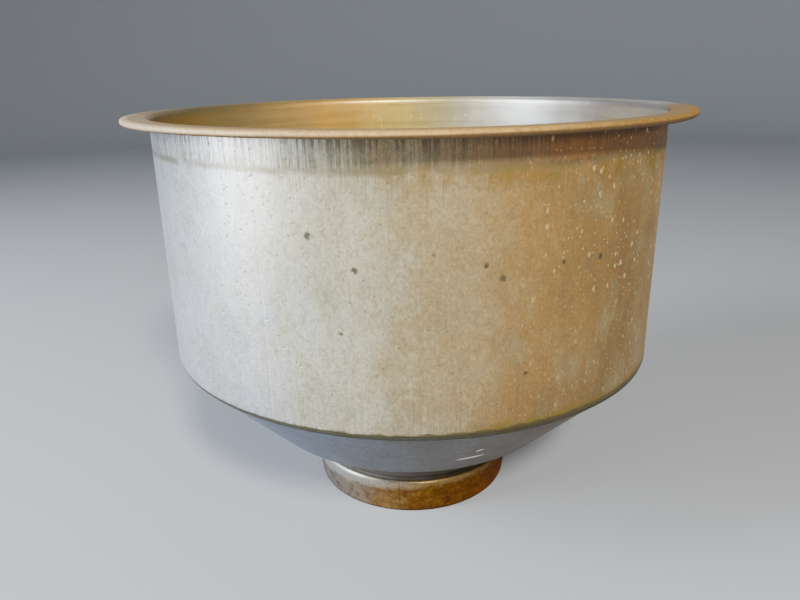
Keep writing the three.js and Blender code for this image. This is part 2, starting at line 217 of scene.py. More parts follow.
# %% Make a mesh and turn an outline
def make_mesh(name, vertices, faces, sharp=35):
    mesh = bpy.data.meshes.new(name)
    mesh.from_pydata([tuple(v) for v in vertices], [], faces)
    form = bmesh.new()
    form.from_mesh(mesh)
    bmesh.ops.remove_doubles(form, verts=form.verts, dist=1e-6)
    bmesh.ops.recalc_face_normals(form, faces=form.faces)
    form.to_mesh(mesh)
    form.free()
    mesh.shade_smooth()
    mesh.set_sharp_from_angle(angle=math.radians(sharp))
    piece = bpy.data.objects.new(name, mesh)
    bpy.context.scene.collection.objects.link(piece)
    return piece


def turned_mesh(outline, closed, turns):
    """Vertices and faces of an outline swept round the axis."""
    count = len(outline)
    vertices = []
    for i in range(turns):
        angle = 2 * math.pi * i / turns
        c, s = math.cos(angle), math.sin(angle)
        vertices += [Vector((p.x * c, p.x * s, p.y)) for p in outline]
    faces = []
    for i in range(turns):
        here, there = i * count, (i + 1) % turns * count
        for k in range(count if closed else count - 1):
            after = (k + 1) % count
            faces.append((here + k, there + k, there + after, here + after))
    return vertices, faces


def turned(name, node, turns=288, worn=True):
    """A fine turned piece on the outline of a coarse node, which it replaces."""
    points, closed = outline_of(node)
    outline = divided(softened(points, closed), closed)
    vertices, faces = turned_mesh(outline, closed, turns)
    if worn:
        vertices = [uneven(v) for v in vertices]
    piece = make_mesh(name, vertices, faces)
    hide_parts(node)
    print(f"{name}: {len(outline)} points round, {len(piece.data.vertices)} vertices")
    return piece


# %% [markdown]
# ## A round wire along a path
# The clamp ring and the lift ring are bent wire. A circle is carried along the path, and at each
# step it is turned by no more than the path itself turns, so that the wire isn't twisted. The two
# ends are closed with small domes.

# %% Wire along a path
DOME_STEPS = ((0.27, 0.89), (0.48, 0.6), (0.57, 0.31))  # a domed end's distance and size, in radii


def wire(name, path, radius, sides=16):
    """A round wire with domed ends along a list of points."""
    nearby = zip(path[:1] + path[:-1], path[1:] + path[-1:])
    tangents = [(after - before).normalized() for before, after in nearby]
    side = tangents[0].orthogonal().normalized()
    rings = []
    for i, (centre, along) in enumerate(zip(path, tangents)):
        if i:
            side = (tangents[i - 1].rotation_difference(along) @ side).normalized()
        rings.append([centre, side, along.cross(side), radius])
    domed = []
    for end, outward in ((0, -tangents[0]), (-1, tangents[-1])):
        centre, side, up, _ = rings[end]
        domed.append([[centre + outward * radius * a, side, up, radius * b] for a, b in DOME_STEPS])
    rings = domed[0][::-1] + rings + domed[1]
    vertices = []
    for centre, side, up, size in rings:
        for k in range(sides):
            angle = 2 * math.pi * k / sides
            vertices.append(centre + side * size * math.cos(angle) + up * size * math.sin(angle))
    faces = []
    for i in range(len(rings) - 1):
        for k in range(sides):
            a, b = i * sides + k, i * sides + (k + 1) % sides
            faces.append((a, b, b + sides, a + sides))
    faces.append(tuple(range(sides))[::-1])
    faces.append(tuple(range((len(rings) - 1) * sides, len(rings) * sides)))
    print(f"{name}: {len(path)} points along the wire")
    return make_mesh(name, vertices, faces, sharp=80)


# %% [markdown]
# ## Writing a finish
# Shader maths reads best as plain arithmetic. A Value wraps one output of a node, and each
# operator on it adds the Math node it stands for. Everything else goes through one method, which
# sets a node up and links its sockets.

# %% Shader arithmetic
class Value:
    """One output of a shader node, which can be used in arithmetic."""

    def __init__(self, finish, socket):
        self.finish = finish
        self.socket = socket

    def maths(self, operation, *values):
        """A Math node on the given values."""
        return self.finish.node("Math", {"operation": operation}, dict(enumerate(values)))

    def __add__(self, other):
        return self.maths("ADD", self, other)

    def __sub__(self, other):
        return self.maths("SUBTRACT", self, other)

    def __rsub__(self, other):
        return self.maths("SUBTRACT", other, self)

    def __mul__(self, other):
        return self.maths("MULTIPLY", self, other)

    def __truediv__(self, other):
        return self.maths("DIVIDE", self, other)

    def __pow__(self, other):
        return self.maths("POWER", self, other)

    __radd__ = __add__
    __rmul__ = __mul__

    def size(self):
        return self.maths("ABSOLUTE", self)

    def least(self, other):
        return self.maths("MINIMUM", self, other)

    def most(self, other):
        return self.maths("MAXIMUM", self, other)

    def rise(self, low, high):
        """0 below low and 1 above high, with a smooth step between; low may be the greater."""
        names = {"Value": self, "From Min": low, "From Max": high, "To Min": 0.0, "To Max": 1.0}
        return self.finish.node("MapRange", {"interpolation_type": "SMOOTHSTEP"}, names)

    def near(self, middle, width, core=0.0):
        """1 within core of a middle value, falling to 0 at width from it."""
        return (self - middle).size().rise(width, core)


# %% [markdown]
# A Finish is one material. It gives the position on the piece, noise and cells stretched along
# any axis, and mixes of colour. Its last method, done, hands the results to the principled
# shader, with height as a bump in metres.

# %% Materials
class Finish:
    def __init__(self, name):
        self.material = bpy.data.materials.new(name)
        self.material.use_nodes = True
        self.tree = self.material.node_tree
        self.shader = self.tree.nodes["Principled BSDF"]
        self.place = self.node("TexCoord", {}, {}, "Object")
        self.x, self.y, self.z = self.split(self.place)
        self.radius = (self.x * self.x + self.y * self.y) ** 0.5
        self.side = self.x / RIM_RADIUS  # -1 at the left, 1 at the right
        around = self.x.maths("ARCTAN2", self.x, 0 - self.y) * 0.9 * RIM_RADIUS
        self.unrolled = self.node("CombineXYZ", {}, {0: around, 1: self.z})

    def node(self, kind, settings, sockets, output=0):
        """Any node: its settings are set first, then its sockets get numbers or links."""
        made = self.tree.nodes.new("ShaderNode" + kind)
        for name, value in settings.items():
            if name == "stops":
                self.fill_ramp(made.color_ramp, value)
            else:
                setattr(made, name, value)
        for name, value in sockets.items():
            if isinstance(value, Value):
                self.tree.links.new(value.socket, made.inputs[name])
            else:
                made.inputs[name].default_value = value
        return Value(self, made.outputs[output])

    def split(self, vector):
        return [self.node("SeparateXYZ", {}, {0: vector}, axis) for axis in "XYZ"]

    def vector(self, operation, *values):
        """A Vector Math node on the given values."""
        return self.node("VectorMath", {"operation": operation}, dict(enumerate(values)))

    @staticmethod
    def fill_ramp(ramp, stops):
        while len(ramp.elements) < len(stops):
            ramp.elements.new(1.0)
        for element, (place, colour) in zip(ramp.elements, stops):
            element.position = place
            element.color = colour

    def across(self, value, stops):
        """A colour for a value from -1 to 1, blended between rising (value, colour) stops."""
        scaled = [((place + 1) / 2, colour) for place, colour in stops]
        return self.node("ValToRGB", {"stops": scaled}, {0: value * 0.5 + 0.5}, "Color")

    def stretched(self, start, scale, offset):
        """A position times a scale for each axis, moved by an offset."""
        return self.vector("ADD", self.vector("MULTIPLY", start, scale), (offset,) * 3)

    def noise(self, scale, detail=4.0, offset=0.0, rough=0.55):
        place = self.stretched(self.place, scale, offset)
        sockets = {"Vector": place, "Scale": 1.0, "Detail": detail, "Roughness": rough}
        return self.node("TexNoise", {}, sockets, "Fac")

    def spots(self, pitch, size, keep, offset=0.0, ragged=0.3, tall=1.0, flat=True):
        """Scattered spots up to a size; cells lie a pitch apart, and a share of them is kept."""
        start = self.unrolled if flat else self.place
        place = self.stretched(start, (1 / pitch, 1 / pitch / tall, 1 / pitch), offset)
        wobble = self.node("TexNoise", {}, {"Vector": place, "Scale": 3.0, "Detail": 2.0}, "Color")
        swing = {0: wobble, "Scale": ragged * size / pitch}
        shift = self.node("VectorMath", {"operation": "SCALE"}, swing)
        cells = {"Vector": self.vector("ADD", place, shift), "Scale": 1.0, "Randomness": 1.0}
        dimensions = {"voronoi_dimensions": "2D" if flat else "3D"}
        distance = self.node("TexVoronoi", dimensions, cells, "Distance")
        dice = self.node("TexVoronoi", dimensions, cells, "Color")
        chance, grown = (self.node("SeparateColor", {}, {0: dice}, channel) for channel in (0, 1))
        reach = size / pitch * (0.4 + 0.6 * grown)
        return (distance / reach).rise(1.0, 0.5) * chance.rise(1 - keep, 1.02 - keep)

    def stroke(self, angle, height, length, width, slope):
        """One thin scratch on a round piece; angle (from the front) and slope are in degrees."""
        middle = (math.radians(angle) * 0.9 * RIM_RADIUS, height, 0)
        x, y, _ = self.split(self.vector("SUBTRACT", self.unrolled, middle))
        lean = math.radians(slope)
        along = (x * math.cos(lean) + y * math.sin(lean)) / (length / 2)
        across = (y * math.cos(lean) - x * math.sin(lean)) / (width / 2)
        return (along * along + across * across).rise(1.0, 0.1)

    def hairs(self, scale, width, offset=0.0, wander=0.4):
        """Thin scratches: the places where a stretched noise passes its middle value."""
        return self.noise(scale, 1.0, offset, wander).near(0.5, width)

    def mix(self, amount, first, second, kind="MIX"):
        settings = {"data_type": "RGBA", "blend_type": kind}
        return self.node("Mix", settings, {0: amount, 6: first, 7: second}, 2)

    def done(self, colour, roughness, metallic, height, **fixed):
        """Links the results to the shader; fixed holds plain numbers for other sockets."""
        bump = self.node("Bump", {}, {"Strength": 1.0, "Distance": 1.0, "Height": height}, "Normal")
        given = {"Base Color": colour, "Roughness": roughness, "Metallic": metallic, "Normal": bump}
        for name, value in {**given, **fixed}.items():
            if isinstance(value, Value):
                self.tree.links.new(value.socket, self.shader.inputs[name])
            else:
                self.shader.inputs[name].default_value = value
        print(f"finish {self.material.name}: {len(self.tree.nodes)} nodes")
        return self.material


def rgb(red, green, blue):
    return (red, green, blue, 1.0)


# %% [markdown]
# ## Tinned wall
# The wall was drawn through a die, which left fine upright lines, strongest near the rim and the
# lower edge. Tin dulls to a pale grey, and on one side it has gone brown with oxide. Such a finish
# is best laid on as on the real sheet, layer over layer: each function takes the colour so far and
# lays its own on it. The first layer is the sheet's colour, with painted light in it: a bluish
# painted reflection at the left, and painted shade towards the right and lower down.

# %% Colour of the sheet
def sheet_colour_with_light(f, clouds):
    """Grey tin with a bluish painted reflection at the left, going over to brown at the right,
    which is partly oxide and partly painted shade.
    """
    patches = f.noise((60, 60, 34), 5.0, 5.0)
    # Painted light: the tin is bluish at the left as a painted reflection of the cool window, and
    # the brown towards the right is partly oxide and partly painted shade away from the window.
    colour = f.across(
        f.side + (clouds - 0.5) * 0.45 + (patches - 0.5) * 0.4,
        (
            (-0.90, rgb(0.55, 0.60, 0.72)),
            (-0.50, rgb(0.66, 0.68, 0.70)),
            (-0.28, rgb(0.71, 0.68, 0.47)),
            (0.00, rgb(0.46, 0.35, 0.155)),
            (0.32, rgb(0.36, 0.205, 0.048)),
            (0.62, rgb(0.23, 0.135, 0.034)),
            (0.90, rgb(0.42, 0.255, 0.078)),
        ),
    )
    # Painted shade: away from the far left, the wall is darkened and cooled lower down.
    lower_shade = 0.6 * (f.z + (clouds - 0.5) * 0.04).rise(0.86 * HEIGHT, 0.70 * HEIGHT)
    lower_shade = (lower_shade + 0.6 * f.z.rise(0.56 * HEIGHT, 0.42 * HEIGHT)) * f.side.rise(-0.8, -0.3)
    colour = f.mix(lower_shade, colour, rgb(0.82, 0.82, 0.89), "MULTIPLY")
    green = f.noise((48, 48, 30), 4.0, 14.0).rise(0.48, 0.7)
    colour = f.mix(green * 0.35, colour, rgb(0.36, 0.37, 0.20))
    aged = patches.rise(0.5, 0.8) * f.side.rise(-0.7, 0.2)
    return f.mix(aged * 0.35, colour, rgb(0.24, 0.19, 0.12))


# %% [markdown]
# Specks cover all of the sheet, and the die's lines cross them. Both are noise: even in all
# directions for the specks, and drawn out along the axis for the lines.

# %% Specks and lines
def speckled(f, colour, streaks, line_strength):
    """Specks and fine upright lines, which cover all of the sheet."""
    flecks = f.noise((760, 760, 560), 4.0, 11.0, 0.75)
    blots = f.noise((260, 260, 210), 4.0, 8.0, 0.65)
    colour = f.mix((flecks - 0.46) * 2.2, colour, rgb(0.12, 0.10, 0.06))
    bright = f.mix(f.side.rise(-0.3, 0.5), rgb(0.92, 0.85, 0.66), rgb(0.52, 0.37, 0.17))
    colour = f.mix((0.45 - flecks) * 2.2, colour, bright)
    colour = f.mix((blots - 0.5) * 1.6, colour, rgb(0.16, 0.13, 0.08))
    colour = f.mix((0.44 - blots) * 1.2, colour, bright)
    return f.mix((streaks - 0.43) * line_strength * 1.9, colour, rgb(0.07, 0.055, 0.04))


# %% [markdown]
# Below the rim, wet has crept down and dried many times. It left a stain line a finger's width down
# with a fringe above it, rust and olive patches on the brown side, and dark strokes right under the
# rim. The band above the stain line is also darkened as the rim's painted shadow, darkest right
# under the rim and fading out at the left. Each is a band at some distance below the rim, broken up
# by noise.

# %% Stains below the rim
def rim_stains_and_shadow(f, colour):
    """Rust, a stain line, patches and drips below the rim, and the rim's painted shadow."""
    below_rim = HEIGHT - f.z
    ripple = f.noise((26, 26, 4), 3.0, 9.0)
    drips = f.noise((700, 700, 30), 3.0, 4.5)
    reach = 0.0185 + (ripple - 0.5) * 0.003
    # Painted shadow: the band between the rim and the stain line is darkened as the rim's shadow,
    # fading out towards the left.
    rim_shadow_band = (below_rim - reach).rise(0.0006, -0.001) * f.side.rise(-0.8, 0.05)
    colour = f.mix(rim_shadow_band * 0.4, colour, rgb(0.19, 0.145, 0.11))

    rusty = (f.side + (ripple - 0.5) * 0.9).rise(0.05, 0.6)
    rust = (below_rim + (drips - 0.5) * 0.006).rise(0.021, 0.014) * rusty
    colour = f.mix(rust * 0.75, colour, rgb(0.30, 0.125, 0.035))
    dried = (below_rim - (drips - 0.5) * 0.004).near(0.0180, 0.0020, 0.0003) * rusty
    colour = f.mix(dried * ripple.rise(0.40, 0.55) * 0.85, colour, rgb(0.09, 0.045, 0.010))
    # Painted shade: darker still right under the rim, brown on the rusty side.
    shade_under_rim = below_rim.rise(0.0100, 0.0062) * rusty
    colour = f.mix(shade_under_rim * 0.72, colour, rgb(0.085, 0.045, 0.016))

    broken = f.noise((50, 50, 50), 4.0, 8.0).rise(0.25, 0.5)
    line = (below_rim - reach).near(0.0, 0.0030, 0.0002) * broken
    fringe = (below_rim - reach).near(-0.003, 0.0050, 0.001) * drips.rise(0.46, 0.55)
    colour = f.mix(line.most(fringe * 0.9) * 0.75, colour, rgb(0.18, 0.15, 0.07))
    olive = below_rim.near(0.0215, 0.009) * f.side.rise(-0.2, 0.15)
    olive = olive * f.noise((85, 85, 60), 5.0, 12.0, 0.65).rise(0.46, 0.6)
    colour = f.mix(olive * 0.7, colour, rgb(0.20, 0.13, 0.012))
    glow = below_rim.near(0.020, 0.007) * f.side.rise(-0.45, -0.15)
    glow = glow * f.noise((120, 120, 60), 5.0, 21.0, 0.65).rise(0.47, 0.65)
    colour = f.mix(glow * 0.4, colour, rgb(0.36, 0.17, 0.05))

    runs = below_rim.rise(0.016, 0.004) * drips.rise(0.43, 0.58)
    colour = f.mix(runs * 0.75, colour, rgb(0.08, 0.055, 0.045))
    # Painted shade: a dark band all round, right under the rim's curl.
    shade_at_rim = below_rim.rise(0.0075, 0.0045) * (0.35 + 0.65 * rusty)
    return f.mix(shade_at_rim * 0.6, colour, rgb(0.07, 0.04, 0.025))


# %% [markdown]
# A few large dark spots stand out on the front, so they are placed one by one. Their edges are
# ragged, because noise is added to the distance from each spot's middle.

# %% Single dark spots
WALL_RADIUS = outline_of("bowl_cone")[0][0].x  # the cone's widest point, just inside the wall
MARKS = (  # angle from the front towards the right in degrees, height and radius in millimetres
    (-18, 206, 2.9),
    (-10, 191, 2.5),
    (3, 198, 1.6),
    (12, 192, 2.3),
    (15, 185, 2.5),
    (27, 189, 2.0),
    (36, 188, 2.4),
    (-13, 160, 1.7),
    (-31, 244, 1.6),
    (20, 136, 2.2),
)


def wall_marks(f):
    """Dark spots at a few places on the outside of the wall."""
    edge = f.noise((420, 420, 420), 2.0, 5.0) - 0.5
    marks = 0.0
    for angle, height, size in MARKS:
        turned_by = math.radians(angle)
        across, out = WALL_RADIUS * math.sin(turned_by), WALL_RADIUS * math.cos(turned_by)
        ends = {0: f.place, 1: (across, -out, height * MM)}
        apart = f.node("VectorMath", {"operation": "DISTANCE"}, ends, "Value")
        spot = (apart + edge * size * MM * 0.8).rise(size * MM, size * MM * 0.45)
        marks = spot.most(marks)
    return marks


print(f"{len(MARKS)} dark spots, {WALL_RADIUS / MM:.1f} mm from the axis")

# %% [markdown]
# Pits go through the tin all over, and pale drops have dried on the brown side, most of them high
# up. There are hundreds of them, so they are scattered: one to a cell, and only in a share of the
# cells. Two scratches at the left are single strokes, and so are two long upright lines beside
# them, a faint dark one and a faint light one, which paint the edge of the window's reflection.

# %% Pits, drops and scratches
def pits_and_drops(f, clouds):
    """Masks of the pits, the small pits and the drops."""
    crowded = clouds.rise(0.35, 0.6)
    pits = f.spots(9 * MM, 1.5 * MM, 0.4, 1.0, 1.2, 0.7) * (0.4 + 0.6 * crowded)
    small_pits = f.spots(3.6 * MM, 0.75 * MM, 0.3, 4.0, 0.8) * crowded.most(0.3)
    wetted = (f.side + (clouds - 0.5) * 0.9).rise(0.05, 0.7)
    high_up = f.z.rise(0.45 * HEIGHT, 0.75 * HEIGHT)
    fine = f.spots(2.4 * MM, 0.55 * MM, 0.24, 6.0, 0.9, 1.4) * wetted * (0.45 + 0.55 * high_up)
    large = f.spots(5.2 * MM, 1.15 * MM, 0.24, 3.0, 1.0, 1.6) * wetted.most(0.15)
    return pits, small_pits, fine.most(large * (0.35 + 0.65 * high_up))


def scratches_and_reflection_edge(f, colour):
    scratches = f.stroke(-33.5, 0.208, 0.024, 0.7 * MM, 72)
    scratches = scratches.most(f.stroke(-32, 0.190, 0.012, 0.5 * MM, 80) * 0.6)
    colour = f.mix(scratches * 0.8, colour, rgb(0.97, 0.97, 0.98))
    # Painted reflection: these two upright lines paint the edge of the window's reflection on the
    # wall.
    reflection_edge_dark = f.stroke(-28.4, 0.168, 0.15, 1.0 * MM, 90)
    colour = f.mix(reflection_edge_dark * 0.30, colour, rgb(0.30, 0.31, 0.33))
    reflection_edge_light = f.stroke(-27.9, 0.160, 0.13, 0.8 * MM, 90)
    return f.mix(reflection_edge_light * 0.35, colour, rgb(0.95, 0.95, 0.95))


# %% [markdown]
# At its lower edge the wall meets the solder. Wet stays there, so the edge is dark all round and
# mossy on the brown side.

# %% Dark lower edge
def mossy_foot(f, colour, clouds, grime):
    """Moss and a dark line along the wall's lower edge."""
    above_foot = f.z - WALL_FOOT
    moss = above_foot.rise(0.007, 0.0) * (f.side + (clouds - 0.5)).rise(-0.1, 0.45)
    colour = f.mix(moss * grime.rise(0.36, 0.52) * 0.85, colour, rgb(0.17, 0.125, 0.010))
    edge = (above_foot + (grime - 0.5) * 0.004).rise(0.0020, 0.0005)
    return f.mix(edge * 0.85, colour, rgb(0.06, 0.048, 0.022))


# %% [markdown]
# The inside's colours are painted light: shade at the left, a golden painted reflection of warm
# light at the back and a bright grey painted highlight of the window at the right, with faint rings
# from the tool. The rim has been handled and wetted most: it is dusty tan at the left and rust
# brown at the right, and its underside is darkened as painted shade.

# %% Colours of the inside and the rim
def inner_colour_and_light(f, clouds):
    bands = f.noise((14, 14, 260), 3.0, 6.0)
    # Painted light: dark shade at the left, a golden painted reflection at the back and the
    # window's bright grey painted highlight at the right.
    colour = f.across(
        f.side + (clouds - 0.5) * 0.4,
        (
            (-0.90, rgb(0.25, 0.21, 0.095)),
            (-0.70, rgb(0.41, 0.30, 0.13)),
            (-0.50, rgb(0.66, 0.42, 0.12)),
            (-0.35, rgb(0.95, 0.53, 0.09)),
            (0.00, rgb(0.92, 0.70, 0.14)),
            (0.28, rgb(0.78, 0.69, 0.40)),
            (0.45, rgb(0.80, 0.83, 0.76)),
            (0.62, rgb(0.66, 0.68, 0.67)),
            (0.85, rgb(0.34, 0.33, 0.33)),
        ),
    )
    return f.mix((bands - 0.42) * 1.2, colour, rgb(0.22, 0.13, 0.04))


def rim_colour(f):
    dust = f.noise((110, 110, 110), 5.0, 3.5)
    grit = f.noise((520, 520, 520), 4.0, 2.5, 0.7)
    colour = f.across(
        f.side + (dust - 0.5) * 0.5,
        (
            (-0.95, rgb(0.56, 0.44, 0.30)),
            (-0.50, rgb(0.52, 0.345, 0.15)),
            (0.10, rgb(0.54, 0.31, 0.060)),
            (0.60, rgb(0.24, 0.125, 0.015)),
            (0.95, rgb(0.25, 0.125, 0.016)),
        ),
    )
    colour = f.mix((grit - 0.48) * 2.2, colour, rgb(0.09, 0.05, 0.02))
    colour = f.mix((0.45 - grit) * 1.8, colour, rgb(0.70, 0.56, 0.32))
    face = f.radius.rise(RIM_RADIUS - 3.0 * MM, RIM_RADIUS - 4.5 * MM)
    face_away = face * f.y.rise(-0.09, 0.0)
    colour = f.mix((face * 0.6).most(face_away * 0.9), colour, rgb(0.17, 0.125, 0.065))
    # Painted shade: the lower part of the rim's curl, which faces down, is darkened nearly to
    # black.
    rim_underside_shade = HEIGHT - f.z + f.side.rise(-0.9, 0.7) * 0.8 * MM
    return f.mix(rim_underside_shade.rise(1.8 * MM, 3.0 * MM) * 0.9, colour, rgb(0.07, 0.038, 0.012))


# %% [markdown]
# One sheet is wall, rim and inside at once, so a mask for each is needed. The inside is where the
# surface faces the axis, and the flange is where it faces up or lies outside the wall. The far side
# of the flange takes the inside's colours, painted light included.

# %% Which part of the sheet
def sheet_parts(f):
    """Masks of the inside, the flange and the flange's far side."""
    normal = f.split(f.node("NewGeometry", {}, {}, "Normal"))
    outward = (normal[0] * f.x + normal[1] * f.y) / f.radius
    inside = outward.rise(-0.2, -0.7)
    flange = f.radius.rise(WALL_RADIUS + 2.6 * MM, WALL_RADIUS + 3.8 * MM)
    flange = flange.most(normal[2].rise(0.25, 0.6))
    curl = f.radius.rise(RIM_RADIUS - 3.4 * MM, RIM_RADIUS - 2.4 * MM)
    far_side = (f.y + f.side.rise(0.3, 0.9) * 0.045).rise(-0.01, 0.05) * (1 - curl)
    return inside, flange, far_side


# %% [markdown]
# Now all layers go on in turn. Oxide, dust and pits are rougher and less metallic than bare tin.
# The bump has the drawing lines and grime everywhere, but pits and drops only outside.

# %% Finish of the wall
def wall_finish():
    f = Finish("wall_tin")
    streaks = f.noise((1600, 1600, 18), 3.0)
    clouds = f.noise((22, 22, 16), 4.0, 2.0)
    grime = f.noise((130, 130, 110), 5.0, 8.0)
    bands = f.noise((40, 40, 1.5), 2.0, 2.5).rise(0.45, 0.65)
    near_rim, near_foot = (HEIGHT - f.z).rise(0.040, 0.014), (f.z - WALL_FOOT).rise(0.035, 0.0)
    line_strength = (0.10 + 0.22 * bands + 0.75 * near_rim + 0.45 * near_foot).least(1.0)
    colour = sheet_colour_with_light(f, clouds)
    colour = speckled(f, colour, streaks, line_strength)
    colour = rim_stains_and_shadow(f, colour)

    marks = wall_marks(f)
    pits, small_pits, drops = pits_and_drops(f, clouds)
    colour = f.mix((pits * 0.45).most(marks * 0.9), colour, rgb(0.055, 0.055, 0.028))
    colour = f.mix(small_pits * 0.6, colour, rgb(0.10, 0.085, 0.055))
    colour = f.mix(drops * 0.75, colour, rgb(0.76, 0.60, 0.27))
    colour = scratches_and_reflection_edge(f, colour)
    colour = mossy_foot(f, colour, clouds, grime)

    inside, flange, far_side = sheet_parts(f)
    colour = f.mix(inside.most(flange * far_side), colour, inner_colour_and_light(f, clouds))
    rim = flange * (1 - far_side * 0.85)
    colour = f.mix(rim, colour, rim_colour(f))

    brown = f.side.rise(-0.6, 0.5) * (1 - inside)
    dull = 0.17 * brown + 0.18 * rim + 0.14 * grime
    roughness = 0.30 + dull + (streaks - 0.5) * 0.16 + 0.1 * pits
    metallic = 0.72 - 0.35 * rim - 0.3 * pits - 0.25 * brown
    height = (streaks * line_strength * 0.05 + grime * 0.05) * MM
    spots = drops * 0.06 - (pits + marks) * 0.12 - small_pits * 0.08
    return f.done(colour, roughness, metallic, height + spots * (1 - inside) * MM)


# %% [markdown]
# ## Cone
# The cone is smooth, dull tin with faint rings from spinning and one bright scratch at the right.
# It is painted darker and cooler than the wall: painted shade, as it faces down, and a bluish
# painted reflection at the left. The neck below it has the same finish, and its outside is painted
# nearly black as the shade in the groove under the cone.

# %% Finish of the cone
def cone_finish():
    f = Finish("cone_tin")
    clouds = f.noise((30, 30, 30), 4.0, 2.0)
    rings = f.noise((25, 25, 700), 3.0, 6.0)
    grain = f.noise((420, 420, 420), 4.0, 9.0, 0.7)
    blots = f.noise((150, 150, 190), 5.0, 1.0)
    # Painted light: the cone's tin is darkened as painted shade, since it faces down, and tinted
    # blue at the left as a painted reflection.
    colour = f.across(
        f.side + (clouds - 0.5) * 0.5,
        (
            (-0.75, rgb(0.165, 0.20, 0.29)),
            (-0.35, rgb(0.118, 0.140, 0.205)),
            (0.00, rgb(0.098, 0.090, 0.083)),
            (0.40, rgb(0.076, 0.042, 0.012)),
            (0.80, rgb(0.12, 0.072, 0.022)),
        ),
    )
    colour = f.mix((grain - 0.46) * 2.0, colour, rgb(0.05, 0.05, 0.05))
    colour = f.mix((0.44 - grain) * 0.9, colour, rgb(0.46, 0.45, 0.42))
    colour = f.mix(blots.rise(0.48, 0.7) * 0.45, colour, rgb(0.075, 0.085, 0.07))
    colour = f.mix((rings - 0.5) * 1.2, colour, rgb(0.09, 0.085, 0.08))
    seam = (f.z - WALL_FOOT).rise(-0.008, 0.0) * f.noise((60, 60, 60), 4.0, 3.0).rise(0.35, 0.6)
    colour = f.mix(seam * 0.6, colour, rgb(0.10, 0.085, 0.045))
    pits = f.spots(9 * MM, 1.6 * MM, 0.25, 3.0, 0.8)
    colour = f.mix(pits * 0.6, colour, rgb(0.045, 0.07, 0.035))
    scratch = f.stroke(14.9, 0.0705, 0.026, 2.6 * MM, 5)
    nick = f.stroke(15.4, 0.0810, 0.006, 1.8 * MM, 20)
    colour = f.mix(scratch.most(nick), colour, rgb(0.95, 0.88, 0.74))

    neck = f.radius.rise(0.42 * RIM_RADIUS, 0.40 * RIM_RADIUS)
    neck = neck * f.z.rise(0.29 * HEIGHT, 0.18 * HEIGHT)
    # Painted shade: the outside of the neck is darkened nearly to black, as the groove under the
    # cone is in shade.
    shaded_neck_outside = neck * f.radius.rise(0.3805 * RIM_RADIUS, 0.382 * RIM_RADIUS)
    colour = f.mix(shaded_neck_outside * 0.9, colour, rgb(0.092, 0.072, 0.056))
    roughness = 0.38 + clouds * 0.16 + seam * 0.15 + shaded_neck_outside * 0.25 + (grain - 0.5) * 0.2
    height = (rings * 0.015 + clouds * 0.05 + grain * 0.03 - pits * 0.1) * MM
    return f.done(colour, roughness, 0.75 - seam * 0.4 - shaded_neck_outside * 0.5, height)


# %% [markdown]
# ## Collar
# The collar was never tinned well. It is brown with rust, greyer on one side and orange on the
# other, and its shoulder is worn back to metal. The worn shoulder also carries a painted highlight,
# wide and silvery at the left and thin at the right. A thin upright seam runs down the front.

# %% Finish of the collar
def collar_finish():
    f = Finish("collar_steel")
    grain = f.noise((520, 520, 520), 5.0, 1.0, 0.7)
    patches = f.noise((150, 150, 170), 4.0, 4.0, 0.6)
    broad = f.noise((60, 60, 60), 3.0, 14.0)
    uprights = f.noise((1100, 1100, 45), 3.0, 2.0)
    over = f.side * 2.5 + (patches - 0.5) * 0.5 + (broad - 0.5) * 0.4  # -1 to 1 over the collar
    colour = f.across(
        over,
        (
            (-0.95, rgb(0.11, 0.11, 0.11)),
            (-0.60, rgb(0.125, 0.11, 0.088)),
            (-0.40, rgb(0.15, 0.088, 0.034)),
            (0.00, rgb(0.115, 0.050, 0.0045)),
            (0.50, rgb(0.115, 0.042, 0.0015)),
            (0.90, rgb(0.11, 0.029, 0.0003)),
        ),
    )
    colour = f.mix((patches - 0.47) * 3.4, colour, rgb(0.065, 0.018, 0.002))
    colour = f.mix((0.45 - patches) * 3.0, colour, rgb(0.23, 0.13, 0.014))
    colour = f.mix((grain - 0.5) * 3.0, colour, rgb(0.025, 0.011, 0.003))
    colour = f.mix((0.44 - grain) * 1.6, colour, rgb(0.36, 0.24, 0.09))
    colour = f.mix((uprights - 0.5) * 1.0, colour, rgb(0.05, 0.02, 0.004))

    # Partly wear, partly a painted highlight from the left light: the bright band is wide and
    # silvery at the left and thin at the right.
    edge = f.z + (patches - 0.5) * 0.010 + (broad - 0.5) * 0.006
    edge = edge - f.side * 0.007 - over.rise(-0.7, 0.1) * 0.0012
    worn = edge.rise(0.0160, 0.0212) * (1 - over.rise(0.2, 1.0) * 0.5)
    bare_and_highlit = (
        (-0.9, rgb(0.44, 0.45, 0.46)),
        (-0.3, rgb(0.42, 0.37, 0.28)),
        (0.1, rgb(0.33, 0.235, 0.09)),
    )
    bright = f.mix((grain - 0.45) * 2.2, f.across(over, bare_and_highlit), rgb(0.10, 0.07, 0.035))
    colour = f.mix(worn * 0.85, colour, bright)
    seam = f.x.near(-9.4 * MM, 0.4 * MM, 0.1 * MM) * f.y.rise(0.0, -0.01)
    colour = f.mix(seam * 0.6, colour, rgb(0.03, 0.014, 0.006))
    # Painted shade: the lowest few millimetres of the collar, where it stands on the floor, are
    # darkened like a contact shadow.
    colour = f.mix(f.z.rise(0.0026, 0.0004) * 0.9, colour, rgb(0.02, 0.012, 0.006))

    roughness = 0.70 - worn * 0.32 + (grain - 0.5) * 0.25
    rusted = (grain * 0.14 + patches * 0.14) * (1 - worn * 0.8)
    height = (rusted + uprights * 0.03 - seam * 0.1) * MM
    plain = {"Specular IOR Level": 0.08}
    return f.done(colour, roughness, 0.25 + worn * 0.5, height, **plain)


# %% [markdown]
# ## Solder
# Solder is dull and dark, with rust creeping out along it. At the crease between wall and cone it
# is nearly black.

